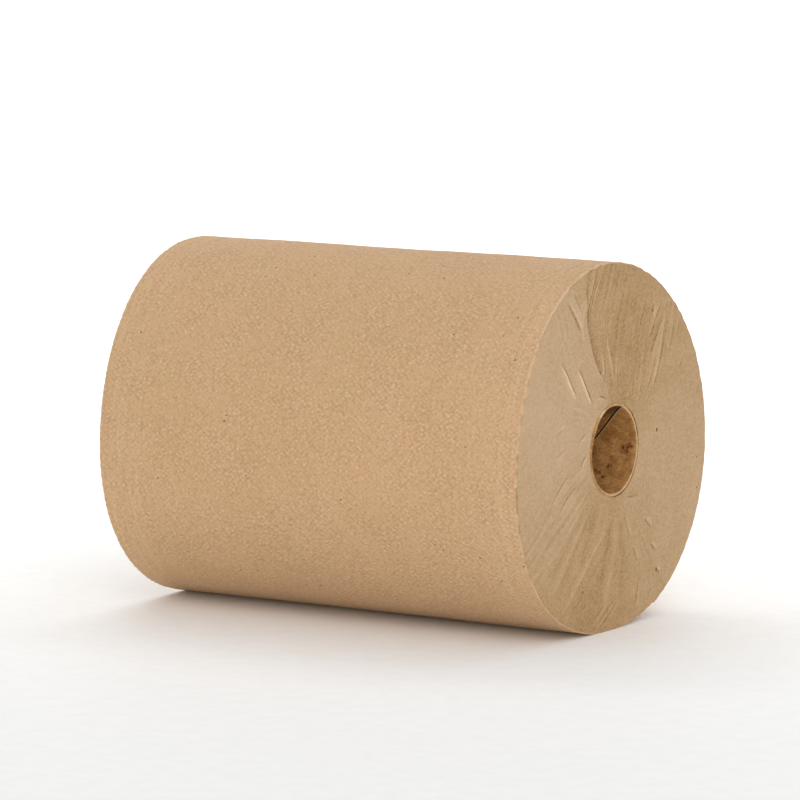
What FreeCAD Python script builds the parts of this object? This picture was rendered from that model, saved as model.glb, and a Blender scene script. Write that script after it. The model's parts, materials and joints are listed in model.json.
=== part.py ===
import FreeCAD, Part
import Sketcher
import math
import os

# A hard-wound paper towel roll lying on its side.
# Frame: X runs along the roll's axis, Z is up, and the origin is on the surface that the roll
# rests on, straight below the axis and half way along it.
# Angles round the axis are in degrees from +Y towards +Z.

FACE_MARGIN = 1.0
SEAM_OVERRUN = 0.5
OUTLINE_STEPS = 36
LOBE_NUMBERS = {"three": 3, "four": 4}

# Driving sizes in millimetres and degrees
SIZES = {
    "web_width": 203.0,
    "roll_diameter": 152.0,
    "three_lobe_height": 1.35,
    "three_lobe_angle": 103.5,
    "four_lobe_height": 0.5,
    "four_lobe_angle": 38.0,
    "core_offset": 1.2,
    "flat_sink": 2.0,
    "rim_bevel": 0.5,
    "sheet_thickness": 0.12,
    "tail_angle": 297.0,
    "tail_lift": 0.5,
    "tail_loose_angle": 32.0,
    "turn_line_count": 5,
    "turn_line_width": 0.5,
    "turn_line_depth": 0.3,
    "crease_depth": 0.45,
    "core_outside": 38.1,
    "core_wall": 1.2,
    "core_clearance": 0.0,
    "mouth_bevel": 0.4,
    "seam_lead": 104.0,
    "seam_angle": 63.0,
    "seam_width": 0.6,
    "seam_depth": 0.35,
}

# Creases that the saw left in the near end: angle, where each starts and ends between the core
# (0) and the rim (1), half of its width in millimetres, and its lean away from a true radius
NEAR_CREASES = (
    (38, 0.32, 0.66, 1.2, 26),
    (45, 0.50, 0.92, 1.4, 27),
    (51, 0.46, 0.84, 1.3, 5),
    (56, 0.56, 0.92, 1.4, 0),
    (112, 0.18, 0.90, 2.2, 0),
    (118, 0.64, 0.94, 1.2, 9),
    (128.5, 0.12, 0.46, 1.2, -3),
    (138, 0.32, 0.66, 1.2, -11),
    (145, 0.12, 0.38, 1.1, 14),
    (194, 0.30, 0.56, 1.2, 24),
    (211, 0.15, 0.90, 1.8, 0),
    (220, 0.12, 0.90, 1.8, 0),
    (229, 0.10, 0.92, 2.0, 0),
    (248, 0.12, 0.92, 2.2, 20),
    (268, 0.12, 0.92, 2.2, 13),
    (290, 0.18, 0.62, 1.6, 7),
    (307, 0.40, 0.86, 1.5, -14),
)

# The far end was cut by the same saw, and its creases are fewer and more even
FAR_CREASE_COUNT = 7
FAR_CREASE = (0.15, 0.80, 1.8, 3)


def make_sheet(doc):
    """Put every driving size in a cell of its own name."""
    sheet = doc.addObject("Spreadsheet::Sheet", "Dims")
    for row, (name, value) in enumerate(SIZES.items(), start=1):
        sheet.set(f"A{row}", name)
        sheet.set(f"B{row}", str(value))
        sheet.setAlias(f"B{row}", name)
    doc.recompute()
    return sheet


doc = FreeCAD.newDocument("paper_towel_roll")
sheet = make_sheet(doc)


def size(name):
    """A driving size as a number."""
    return float(sheet.get(name))


AXIS_HEIGHT = "Dims.roll_diameter / 2 - Dims.flat_sink"
roll_radius = size("roll_diameter") / 2
web_inside = size("core_outside") / 2 + size("core_clearance")
half_width = size("web_width") / 2


# The section of the roll

def lobe(count, angle):
    """How far a number of even lobes, three or four, stand out at an angle."""
    crest = size(f"{count}_lobe_angle")
    number = LOBE_NUMBERS[count]
    return size(f"{count}_lobe_height") * math.cos(math.radians(number * (angle - crest)))


def outside_reach(angle):
    """Distance from the section's middle to the outermost turn, which handling has pressed out of round."""
    return roll_radius + lobe("three", angle) + lobe("four", angle)


def middle_shift(reach):
    """How far the middle of a turn lies to the near side of the core, which isn't quite central."""
    return size("core_offset") * (reach / roll_radius) ** 2


def point_at(x, reach, angle):
    """A point at a distance from the axis, in the plane across the axis at x."""
    turned = math.radians(angle)
    return FreeCAD.Vector(x, reach * math.cos(turned), reach * math.sin(turned))


def tail_rise(turn):
    """How far the last turn stands off the one below it, from its free end (0) to one turn back (1)."""
    loose = max(0.0, 1 - turn * 360 / size("tail_loose_angle"))
    return size("sheet_thickness") * (1 - turn) + size("tail_lift") * loose ** 2


def outline_wire(x, bevel):
    """Outline of the roll at x: one turn of the web, closed by the step at its free end."""
    points = []
    for step in range(OUTLINE_STEPS + 1):
        turn = step / OUTLINE_STEPS
        angle = size("tail_angle") + 360 * turn
        point = point_at(x, outside_reach(angle) + tail_rise(turn) - bevel, angle)
        points.append(point - FreeCAD.Vector(0, middle_shift(roll_radius), 0))
    curve = Part.BSplineCurve()
    curve.interpolate(points)
    free_end = Part.LineSegment(points[-1], points[0])
    return Part.Wire([curve.toShape(), free_end.toShape()])


# The wound web

def add_section(name, x, bevel):
    """One cross-section of the web, for the loft."""
    section = doc.addObject("Part::Feature", name)
    section.Shape = outline_wire(x, bevel)
    return section


def make_web_blank():
    """The wound web as one solid, with a small bevel where the saw left each rim."""
    bevel = size("rim_bevel")
    blank = doc.addObject("Part::Loft", "web_blank")
    blank.Sections = [
        add_section("far_face_outline", -half_width, bevel),
        add_section("far_rim_outline", -half_width + bevel, 0),
        add_section("near_rim_outline", half_width - bevel, 0),
        add_section("near_face_outline", half_width, bevel),
    ]
    blank.Solid = True
    blank.Ruled = True
    return blank


def make_core_hole():
    """The hole that the core fills."""
    hole = doc.addObject("Part::Cylinder", "core_hole")
    hole.setExpression("Radius", "Dims.core_outside / 2 + Dims.core_clearance")
    hole.setExpression("Height", f"Dims.web_width + {2 * FACE_MARGIN}")
    hole.Placement.Rotation = FreeCAD.Rotation(FreeCAD.Vector(0, 1, 0), 90)
    hole.setExpression("Placement.Base.x", f"-Dims.web_width / 2 - {FACE_MARGIN}")
    return hole


def make_mouth(name, side):
    """The first turns open a little at an end of the core."""
    mouth = doc.addObject("Part::Cone", name)
    inside = "Dims.core_outside / 2 + Dims.core_clearance"
    mouth.setExpression("Radius1", inside)
    mouth.setExpression("Radius2", f"{inside} + Dims.mouth_bevel + {FACE_MARGIN}")
    mouth.setExpression("Height", f"Dims.mouth_bevel + {FACE_MARGIN}")
    mouth.Placement.Rotation = FreeCAD.Rotation(FreeCAD.Vector(0, 1, 0), 90 * side)
    mouth.setExpression("Placement.Base.x", f"{side} * (Dims.web_width / 2 - Dims.mouth_bevel)")
    return mouth


def make_rest_cut():
    """The small flat that the roll's own weight has pressed into its underside."""
    cut = doc.addObject("Part::Box", "rest_cut")
    cut.setExpression("Length", f"Dims.web_width + {2 * FACE_MARGIN}")
    cut.setExpression("Width", "Dims.roll_diameter")
    cut.setExpression("Height", "Dims.roll_diameter / 4")
    cut.setExpression("Placement.Base.x", f"-Dims.web_width / 2 - {FACE_MARGIN}")
    cut.setExpression("Placement.Base.y", "-Dims.roll_diameter / 2")
    cut.setExpression("Placement.Base.z", f"-({AXIS_HEIGHT}) - Dims.roll_diameter / 4")
    return cut


def turn_line(reach, side):
    """Cutter for one shallow V-shaped line between two groups of turns, at one end of the roll."""
    depth = size("turn_line_depth")
    half_mouth = size("turn_line_width") / 2 * (depth + FACE_MARGIN) / depth
    mouth_x = side * (half_width + FACE_MARGIN)
    middle = FreeCAD.Vector(0, -middle_shift(reach), 0)
    corners = [
        middle + FreeCAD.Vector(side * (half_width - depth), 0, reach),
        middle + FreeCAD.Vector(mouth_x, 0, reach - half_mouth),
        middle + FreeCAD.Vector(mouth_x, 0, reach + half_mouth),
    ]
    profile = Part.Face(Part.makePolygon(corners + corners[:1]))
    return profile.revolve(middle, FreeCAD.Vector(1, 0, 0), 360)


def make_turn_lines():
    """The lines between groups of turns, evenly spaced from the core to the rim at both ends."""
    count = int(size("turn_line_count"))
    pitch = (roll_radius - web_inside) / (count + 1)
    rings = []
    for side in (-1, 1):
        for line in range(1, count + 1):
            rings.append(turn_line(web_inside + line * pitch, side))
    lines = doc.addObject("Part::Feature", "turn_lines")
    lines.Shape = Part.makeCompound(rings)
    return lines


def crease_cutter(angle, start, end, half_wide, lean, side):
    """A four-sided dent, deepest at its middle, that runs out to nothing at both ends."""
    depth = size("crease_depth")
    wound = roll_radius - web_inside
    middle = web_inside + wound * (start + end) / 2
    half_long = wound * (end - start) / 2
    grow = (depth + FACE_MARGIN) / depth
    centre = point_at(side * (half_width + FACE_MARGIN), middle, angle)
    along = point_at(0, 1, angle + lean)
    across = point_at(0, 1, angle + lean + 90)
    corners = [
        centre + along * half_long * grow,
        centre + across * half_wide * grow,
        centre - along * half_long * grow,
        centre - across * half_wide * grow,
    ]
    apex = point_at(side * (half_width - depth), middle, angle)
    faces = [Part.Face(Part.makePolygon(corners + corners[:1]))]
    for first, second in zip(corners, corners[1:] + corners[:1]):
        faces.append(Part.Face(Part.makePolygon([first, second, apex, first])))
    dent = Part.Solid(Part.Shell(faces))
    dent.fix(1e-6, 1e-6, 1e-6)
    return dent


def make_creases():
    """The creases of both ends."""
    dents = []
    for angle, start, end, half_wide, lean in NEAR_CREASES:
        dents.append(crease_cutter(angle, start, end, half_wide, lean, 1))
    start, end, half_wide, lean = FAR_CREASE
    for index in range(FAR_CREASE_COUNT):
        angle = 360 * index / FAR_CREASE_COUNT
        dents.append(crease_cutter(angle, start, end, half_wide, lean, -1))
    creases = doc.addObject("Part::Feature", "creases")
    creases.Shape = Part.makeCompound(dents)
    return creases


def cut_from(base, tool, name):
    """A boolean cut as an object of its own."""
    cut = doc.addObject("Part::Cut", name)
    cut.Base = base
    cut.Tool = tool
    return cut


def make_towel_web():
    """The whole wound web, in place on its flat."""
    web = cut_from(make_web_blank(), make_core_hole(), "web_on_core")
    web = cut_from(web, make_rest_cut(), "web_at_rest")
    web = cut_from(web, make_mouth("near_mouth", 1), "web_near_mouth")
    web = cut_from(web, make_mouth("far_mouth", -1), "web_far_mouth")
    web = cut_from(web, make_turn_lines(), "web_with_lines")
    web = cut_from(web, make_creases(), "towel_web")
    web.Label = "towel_web"
    web.setExpression("Placement.Base.z", AXIS_HEIGHT)
    return web


# The paperboard core

def origin_plane(body, role):
    """One of a body's own origin planes or axes."""
    return next(item for item in body.Origin.OriginFeatures if item.Role == role)


def add_tube(body):
    """The plain tube, drawn across the axis and padded along it."""
    ring = body.newObject("Sketcher::SketchObject", "tube_section")
    ring.AttachmentSupport = [(origin_plane(body, "YZ_Plane"), "")]
    ring.MapMode = "FlatFace"
    centre = FreeCAD.Vector(0, 0, 0)
    axis = FreeCAD.Vector(0, 0, 1)
    bounds = (
        ("outside", "Dims.core_outside / 2"),
        ("inside", "Dims.core_outside / 2 - Dims.core_wall"),
    )
    for index, (name, expression) in enumerate(bounds):
        ring.addGeometry(Part.Circle(centre, axis, 10 + index))
        ring.addConstraint(Sketcher.Constraint("Coincident", index, 3, -1, 1))
        radius = ring.addConstraint(Sketcher.Constraint("Radius", index, 10 + index))
        ring.renameConstraint(radius, name)
        ring.setExpression(f"Constraints.{name}", expression)
    tube = body.newObject("PartDesign::Pad", "tube")
    tube.Profile = ring
    tube.setExpression("Length", "Dims.web_width")
    return tube


def add_slot_outline(slot, width):
    """A rectangle just outside the tube's end, from inside the bore to the seam's depth in the wall."""
    corners = [
        FreeCAD.Vector(-2, 1, 0),
        FreeCAD.Vector(-1, 1, 0),
        FreeCAD.Vector(-1, 2, 0),
        FreeCAD.Vector(-2, 2, 0),
    ]
    for first, second in zip(corners, corners[1:] + corners[:1]):
        slot.addGeometry(Part.LineSegment(first, second))
    for side in range(4):
        slot.addConstraint(Sketcher.Constraint("Coincident", side, 2, (side + 1) % 4, 1))
    for side, direction in enumerate(("Horizontal", "Vertical", "Horizontal", "Vertical")):
        slot.addConstraint(Sketcher.Constraint(direction, side))
    bore = "Dims.core_outside / 2 - Dims.core_wall"
    bounds = (
        ("end_gap", ("DistanceX", 1, 1, -1, 1, 1.0), f"{SEAM_OVERRUN}"),
        ("width", ("DistanceX", 0, 1, 0, 2, 1.0), width),
        ("bore_side", ("DistanceY", -1, 1, 1, 1, 1.0), f"{bore} - {SEAM_OVERRUN}"),
        ("wall_side", ("DistanceY", -1, 1, 1, 2, 2.0), f"{bore} + Dims.seam_depth"),
    )
    for name, constraint, expression in bounds:
        added = slot.addConstraint(Sketcher.Constraint(*constraint))
        slot.renameConstraint(added, name)
        slot.setExpression(f"Constraints.{name}", expression)


def add_seam(body):
    """The open helical joint of the innermost ply, cut from end to end of the bore."""
    turn_length = "(pi * (Dims.core_outside - 2 * Dims.core_wall))"
    width = f"Dims.seam_width * sqrt(1 + (Dims.seam_lead / {turn_length}) ^ 2)"
    slot = body.newObject("Sketcher::SketchObject", "seam_section")
    slot.AttachmentSupport = [(origin_plane(body, "XY_Plane"), "")]
    slot.MapMode = "FlatFace"
    along = FreeCAD.Vector(1, 0, 0)
    slot.AttachmentOffset = FreeCAD.Placement(FreeCAD.Vector(), FreeCAD.Rotation(along, 1))
    far_angle = "Dims.seam_angle - 360 * Dims.web_width / Dims.seam_lead"
    slot.setExpression("AttachmentOffset.Rotation.Angle", far_angle)
    add_slot_outline(slot, width)
    doc.recompute()
    seam = body.newObject("PartDesign::SubtractiveHelix", "seam")
    seam.Profile = slot
    seam.ReferenceAxis = (slot, ["H_Axis"])
    seam.Mode = "pitch-height-angle"
    seam.setExpression("Pitch", "Dims.seam_lead")
    seam.setExpression("Height", f"Dims.web_width + {width} + {2 * SEAM_OVERRUN}")


def make_core_tube():
    """The spiral-wound paperboard tube that the web is wound on."""
    body = doc.addObject("PartDesign::Body", "core_tube")
    body.Label = "core_tube"
    add_tube(body)
    doc.recompute()
    add_seam(body)
    body.setExpression("Placement.Base.x", "-Dims.web_width / 2")
    body.setExpression("Placement.Base.z", AXIS_HEIGHT)
    return body


# Checks and files

def check_document():
    """Stop if any object failed."""
    for item in doc.Objects:
        if "Invalid" in item.State or "Error" in item.State:
            raise RuntimeError(f"{item.Name} failed")


def write_part(part):
    """Write one sub-part to a file named after it."""
    if part.Shape.isNull() or not part.Shape.isValid():
        raise RuntimeError(f"{part.Label} has no valid shape")
    part.Shape.exportStep(f"parts/{part.Label}.step")


parts = [make_core_tube(), make_towel_web()]
doc.recompute()
check_document()
os.makedirs("parts", exist_ok=True)
for part in parts:
    write_part(part)
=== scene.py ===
import json
import math

import bpy
import numpy as np
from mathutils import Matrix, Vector


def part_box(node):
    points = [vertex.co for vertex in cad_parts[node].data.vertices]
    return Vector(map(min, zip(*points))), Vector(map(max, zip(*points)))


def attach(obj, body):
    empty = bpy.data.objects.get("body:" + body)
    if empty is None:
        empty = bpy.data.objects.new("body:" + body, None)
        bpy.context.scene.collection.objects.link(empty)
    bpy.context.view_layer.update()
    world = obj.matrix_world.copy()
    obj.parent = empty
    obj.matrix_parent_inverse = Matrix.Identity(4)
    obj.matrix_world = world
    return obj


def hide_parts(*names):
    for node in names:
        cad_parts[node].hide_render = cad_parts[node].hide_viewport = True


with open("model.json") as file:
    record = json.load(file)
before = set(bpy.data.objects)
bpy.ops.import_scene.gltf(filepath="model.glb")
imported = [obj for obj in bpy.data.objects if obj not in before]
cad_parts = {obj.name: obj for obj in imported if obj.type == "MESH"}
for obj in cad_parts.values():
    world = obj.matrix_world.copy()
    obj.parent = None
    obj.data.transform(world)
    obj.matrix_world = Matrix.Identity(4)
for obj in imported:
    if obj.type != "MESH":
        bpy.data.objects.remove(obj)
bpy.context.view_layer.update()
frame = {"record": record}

MM = 0.001

# Sizes taken from the frame
web_low, web_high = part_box("towel_web")
core_low, core_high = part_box("core_tube")
HALF_WIDTH = web_high.x
AXIS_HEIGHT = (core_low.z + core_high.z) / 2
CORE_RADIUS = (core_high.z - core_low.z) / 2
BORE_RADIUS = next(m for m in frame["record"]["mounts"] if m["name"] == "core_bore")["dims"]["r_mm"] * MM

# The web's section, as in the solid: a circle with three low lobes and four lower ones
ROLL_RADIUS = 76.0 * MM
THREE_LOBE_HEIGHT = 1.35 * MM
THREE_LOBE_ANGLE = 103.5
FOUR_LOBE_HEIGHT = 0.5 * MM
FOUR_LOBE_ANGLE = 38.0
CORE_OFFSET = 1.2 * MM

# The free end of the last turn
TAIL_ANGLE = 297.0
TAIL_LOOSE_ANGLE = 32.0
TAIL_LIFT = 0.5 * MM
SHEET = 0.12 * MM
TAIL_TUCK = 8.0

# The open joint of the core's inner ply
SEAM_LEAD = 104.0 * MM
SEAM_ANGLE = 72.0
SEAM_WIDTH = 0.7 * MM
SEAM_DEPTH = 0.45 * MM

# Mesh density
ANGLE_STEP = 0.5
SIDE_ROW = 1.7 * MM
FACE_ROWS = 128
FAR_FACE_ROWS = 70
RIM_RADIUS = 0.45 * MM
CORE_COLUMNS = 190
CORE_COARSE_ROWS = 110
CORE_FINE_ROWS = 76
SWEEP_STEPS = 19

# The ledge on the near end, left by sheets that the saw laid over: angle, share of the way from core to rim
LEDGE_PATH = ((99, 0.0), (103, 0.13), (107, 0.21), (111, 0.29), (112.6, 0.38), (112.8, 0.50), (112, 0.65),
              (110.5, 0.74), (109, 0.82), (107.5, 0.92), (106.5, 1.0))

# Creases of the near end: path, depth and width in mm, and the side of the raised lip (1 is anticlockwise)
CREASES = (
    (((119.6, 0.95), (119, 0.86), (118, 0.76), (117.2, 0.64)), 0.50, 1.0, -1),
    (((115, 0.96), (114.4, 0.84), (113.5, 0.74)), 0.20, 1.0, 1),
    (((135.4, 0.68), (136.5, 0.55), (138, 0.46), (140, 0.32)), 0.60, 1.1, 1),
    (((127.4, 0.48), (128, 0.36), (128.8, 0.26), (129.4, 0.12)), 0.60, 1.1, 1),
    (((168, 0.16), (163, 0.125), (157, 0.075)), 0.36, 0.9, 1),
    (((190, 0.14), (184, 0.09), (177, 0.035)), 0.42, 1.0, 1),
    (((199, 0.58), (196.5, 0.48), (193, 0.38), (189, 0.27)), 0.34, 1.0, 1),
    (((207, 0.52), (203, 0.36), (200, 0.20)), 0.26, 1.0, 1),
    (((173, 0.34), (178, 0.47)), 0.22, 0.8, 1),
    (((161, 0.38), (168, 0.54)), 0.20, 0.8, -1),
    (((120, 0.13), (114, 0.10), (106, 0.05)), 0.46, 1.0, 1),
    (((95.3, 0.44), (93.4, 0.33), (91.6, 0.20)), 0.22, 1.0, 1),
    (((101.6, 0.38), (103, 0.28), (105, 0.19)), 0.24, 1.0, 1),
    (((86, 0.28), (84, 0.10)), 0.20, 0.9, 1),
    (((51, 0.90), (47, 0.70), (43, 0.56), (38, 0.43), (31, 0.30)), 0.34, 1.1, 1),
    (((48.5, 0.84), (44.5, 0.66), (40, 0.48), (34, 0.29)), 0.30, 1.0, 1),
    (((45.5, 0.94), (42, 0.80), (37.5, 0.64)), 0.26, 1.0, 1),
    (((55.6, 0.92), (56.4, 0.74), (55.6, 0.56)), 0.30, 1.1, 1),
    (((52.4, 0.86), (51.8, 0.68), (50.6, 0.46)), 0.30, 1.0, -1),
    (((60.4, 0.84), (59.4, 0.74)), 0.40, 0.9, -1),
    (((42.4, 0.95), (38.6, 0.84)), 0.26, 0.9, 1),
    (((47, 0.55), (43, 0.40), (39, 0.26)), 0.24, 0.9, 1),
    (((66, 0.90), (67, 0.60)), 0.12, 1.2, 1),
    (((31, 0.88), (27, 0.70)), 0.18, 1.0, 1),
    (((304.6, 0.86), (303.6, 0.78)), 0.50, 1.0, 1),
    (((307, 0.68), (306, 0.58)), 0.42, 0.9, 1),
    (((311, 0.50), (309, 0.38)), 0.44, 0.9, 1),
    (((292.5, 0.60), (291.4, 0.46)), 0.30, 1.0, 1),
    (((289.5, 0.40), (288, 0.18)), 0.24, 1.0, 1),
    (((314, 0.17), (304, 0.19), (295, 0.06)), 0.30, 1.2, -1),
    (((285, 0.95), (291, 0.72)), 0.22, 1.0, 1),
    (((262, 0.97), (268, 0.88), (276, 0.76)), 0.24, 0.9, 1),
    (((258.5, 0.97), (264, 0.88), (272, 0.76)), 0.24, 0.9, 1),
    (((255, 0.97), (260, 0.87), (267, 0.74)), 0.20, 0.9, 1),
    (((110.4, 0.70), (104.5, 0.84), (99, 0.97)), 0.26, 1.0, 1),
    (((107.6, 0.72), (102, 0.86), (97, 0.97)), 0.24, 1.0, 1),
    (((105.6, 0.70), (100, 0.86), (95, 0.97)), 0.20, 1.0, 1),
)

# How much the folds' heights are raised, and how much painted light each millimetre of them puts on the cut
# edges
FOLD_GAIN = 1.7
FOLD_SHADING = 2.0

# Broad folds and thin ridges of the near end: path, height (below 0 for a valley) and width in millimetres
FOLDS = (
    (((206, 0.20), (205, 0.85)), 0.10, 3.4),
    (((211, 0.15), (211, 0.92)), 0.14, 3.2),
    (((213.6, 0.15), (213.4, 0.80)), -0.12, 2.6),
    (((216, 0.12), (215.6, 0.90)), 0.15, 3.2),
    (((220, 0.14), (220, 0.60), (219, 0.95)), 0.14, 3.4),
    (((224.6, 0.12), (225.5, 0.85)), -0.13, 3.2),
    (((229, 0.10), (228.6, 0.50), (228, 0.98)), 0.14, 3.6),
    (((233, 0.12), (232, 0.90)), -0.13, 3.4),
    (((241, 0.03), (240, 0.25), (242, 0.62)), -0.13, 3.0),
    (((261, 0.08), (258, 0.24), (247, 0.47), (241, 0.74), (238, 0.98)), 0.17, 3.4),
    (((250, 0.05), (247, 0.25), (248, 0.42)), 0.10, 3.0),
    (((269, 0.12), (263, 0.43), (258, 0.75)), -0.13, 3.4),
    (((276, 0.08), (273, 0.29), (268, 0.58), (261, 0.97)), 0.15, 3.6),
    (((282, 0.10), (280, 0.50), (275, 0.85)), -0.11, 3.8),
    (((98, 0.52), (96.5, 0.38), (94, 0.26), (91, 0.12)), 0.30, 1.2),
    (((103.5, 0.42), (104.5, 0.30), (106.5, 0.18)), 0.30, 1.2),
    (((91.5, 0.68), (94.5, 0.54)), 0.24, 1.2),
    (((88, 0.36), (87, 0.20)), 0.22, 1.1),
    (((148.5, 0.38), (145.5, 0.28), (143, 0.20), (141, 0.10)), 0.36, 1.1),
    (((153, 0.34), (149, 0.22), (147, 0.13)), 0.30, 1.0),
)

# Small pits in the near end: angle, share of the way out and size in millimetres
PITS = (
    (7, 0.28, 0.75),
    (303.5, 0.81, 0.6),
    (341, 0.94, 0.5),
    (351, 0.88, 0.45),
    (60, 0.78, 0.5),
    (247, 0.72, 0.5),
    (244, 0.66, 0.45),
    (109.5, 0.27, 0.6),
)

# How far the saw dragged the sheets round, in degrees from core to rim, at angles round an end face
DRAG = ((0, 0), (42, 34), (58, 20), (78, 0), (96, -30), (108, -42), (116, -10), (135, -14),
        (165, 18), (192, 30), (212, 0), (240, -12), (268, -60), (290, -10), (310, 14), (360, 0))

# Where an end face is streaked more than elsewhere: angle, how far round in degrees and by how much
STREAKED = (
    (45, 17, 0.9),
    (82, 20, 0.35),
    (106, 10, 0.8),
    (128, 14, 0.35),
    (200, 24, 0.5),
    (235, 34, 0.25),
    (290, 22, 0.35),
)
STREAKED_EVERYWHERE = 0.25

# Seeds of everything that looks scattered
SEEDS = {
    "slack": 11,
    "buckles": 12,
    "rim_waves": 13,
    "near_end": 20,
    "far_creases": 31,
    "bore_fuzz": 41,
    "board_ends": 42,
    "stain_edges": 44,
    "far_end": 60,
    "rim_gaps": 77,
}

# Numbers that vary smoothly

def smooth_step(low, high, value):
    """0 below low, 1 above high and a smooth rise between."""
    part = np.clip((value - low) / (high - low), 0, 1)
    return part * part * (3 - 2 * part)


def bell(distance, width):
    """1 at no distance, fading smoothly to nothing over about twice the width."""
    return np.exp(-(distance / width) ** 2)


def turn_from(start, angle):
    """The shorter way round from one angle in degrees to another, from -180 to 180."""
    return (angle - start + 180) % 360 - 180


def ripple_noise(seed, turned, across, ripples, length, count=30):
    """Smooth seeded noise of about unit size over an angle in radians and a length in metres."""
    rng = np.random.default_rng(seed)
    total = np.zeros(np.broadcast(turned, across).shape)
    for _ in range(count):
        around = rng.integers(-ripples, ripples + 1)
        along = rng.uniform(-1, 1) * 2 * math.pi / length
        total += np.sin(around * turned + along * across + rng.uniform(0, 2 * math.pi))
    return total / math.sqrt(count / 2)


def spoke_noise(seed, turned, low, high, count=40):
    """Smooth seeded noise of about unit size over the angle alone, with low to high ripples a turn."""
    rng = np.random.default_rng(seed)
    total = np.zeros(np.shape(turned))
    for _ in range(count):
        total += np.sin(rng.integers(low, high + 1) * turned + rng.uniform(0, 2 * math.pi))
    return total / math.sqrt(count / 2)


# The section of the web

def outside_reach(angle):
    """Distance from the section's middle to the last full turn, at angles in degrees."""
    three = THREE_LOBE_HEIGHT * np.cos(np.radians(3 * (angle - THREE_LOBE_ANGLE)))
    four = FOUR_LOBE_HEIGHT * np.cos(np.radians(4 * (angle - FOUR_LOBE_ANGLE)))
    return ROLL_RADIUS + three + four


def tail_rise(past_tail):
    """How far the last turn stands off the one below, at degrees past its free end."""
    loose = np.clip(1 - past_tail / TAIL_LOOSE_ANGLE, 0, 1)
    rise = SHEET * (1 - past_tail / 360) + TAIL_LIFT * loose ** 2
    return np.where(past_tail <= 360, rise, 0)


def outline(angle, rise):
    """Across and up from the core's axis to the web's outside."""
    reach = outside_reach(angle) + rise
    across = reach * np.cos(np.radians(angle)) - CORE_OFFSET
    up = reach * np.sin(np.radians(angle))
    return across, np.maximum(up, -AXIS_HEIGHT)


# Meshes

def grid_faces(rows, columns):
    """Quads of a grid whose points are numbered row by row."""
    first = (np.arange(rows - 1)[:, None] * columns + np.arange(columns - 1)[None, :]).ravel()
    return np.stack([first, first + 1, first + columns + 1, first + columns], axis=1)


def mesh_piece(name, points, faces, node):
    """A smooth-shaded mesh that stands for a solid of the frame and rides on its body."""
    mesh = bpy.data.meshes.new(name)
    mesh.from_pydata(points.reshape(-1, 3).tolist(), [], faces.tolist())
    mesh.polygons.foreach_set("use_smooth", np.ones(len(mesh.polygons), dtype=bool))
    mesh.update()
    piece = bpy.data.objects.new(name, mesh)
    bpy.context.scene.collection.objects.link(piece)
    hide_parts(node)
    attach(piece, "root")
    return piece


def point_values(piece, name, values):
    """Store one number for each point, for the materials."""
    attribute = piece.data.attributes.new(name, "FLOAT", "POINT")
    attribute.data.foreach_set("value", np.asarray(values, dtype=np.float32).ravel())


def unrolled_map(piece, around, along):
    """Store how far round and how far along or out each point lies, in metres, as a UV map."""
    layer = piece.data.uv_layers.new(name="unrolled")
    corner = np.empty(len(piece.data.loops), dtype=np.int32)
    piece.data.loops.foreach_get("vertex_index", corner)
    pairs = np.stack([around.ravel()[corner], along.ravel()[corner]], axis=1)
    layer.data.foreach_set("uv", pairs.astype(np.float32).ravel())


# The outside of the web

RIM_ROWS = np.array([0.0, 0.10, 0.25, 0.45, 0.8, 1.4, 2.3, 3.5]) * MM
SLACK_HEIGHT = 0.05 * MM
SLACK_LENGTH = 90 * MM
BUCKLE_HEIGHT = 0.035 * MM
BUCKLE_LENGTH = 26 * MM
RIM_WAVE_HEIGHT = 0.07 * MM
RIM_WAVE_REACH = 9 * MM
LEFT_GAP_ANGLE = 188
UPPER_LEFT_ANGLE = 122
WINDING_MARKS_REACH = 40 * MM


def side_rows():
    """Places along the roll where the side has a row of points, closer at the rims."""
    inner = HALF_WIDTH - RIM_ROWS[-1]
    middle = np.linspace(-inner, inner, int(2 * inner / SIDE_ROW))
    return np.concatenate([RIM_ROWS - HALF_WIDTH, middle[1:-1], HALF_WIDTH - RIM_ROWS[::-1]])


def rim_drop(x):
    """How far the surface turns in at the rims, as a quarter round."""
    past = np.clip(np.abs(x) - (HALF_WIDTH - RIM_RADIUS), 0, RIM_RADIUS)
    return RIM_RADIUS - np.sqrt(RIM_RADIUS ** 2 - past ** 2)


def rim_gaps(angle):
    """Where the last turn stands a little off the next one at the near rim, from 0 to about 1."""
    broken = smooth_step(-0.4, 0.9, spoke_noise(SEEDS["rim_gaps"], np.radians(angle), 5, 80))
    left = bell(angle % 360 - LEFT_GAP_ANGLE, 32)
    upper_left = 0.6 * bell(angle % 360 - UPPER_LEFT_ANGLE, 30)
    return broken * (left + upper_left)


def side_relief(angle, x):
    """Soft waves of the wound sheet, and a little more of them near the rims."""
    turned = np.radians(angle)
    slack = SLACK_HEIGHT * ripple_noise(SEEDS["slack"], turned, x, 9, SLACK_LENGTH)
    buckles = BUCKLE_HEIGHT * ripple_noise(SEEDS["buckles"], turned, x, 40, BUCKLE_LENGTH)
    edge = smooth_step(HALF_WIDTH - RIM_WAVE_REACH, HALF_WIDTH, np.abs(x))
    ripples_by_end = np.where(x > 0, 1.0, 2.0)
    wavy = RIM_WAVE_HEIGHT * spoke_noise(SEEDS["rim_waves"], turned * ripples_by_end, 14, 90)
    return slack + buckles + edge * wavy


def rim_points(angle, past_tail, side):
    """The outermost points of an end of the roll, shared by the side and the end face."""
    x = np.full(np.shape(angle), side * HALF_WIDTH)
    rise = tail_rise(past_tail) - RIM_RADIUS + side_relief(angle, x)
    return outline(angle, rise)


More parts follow.
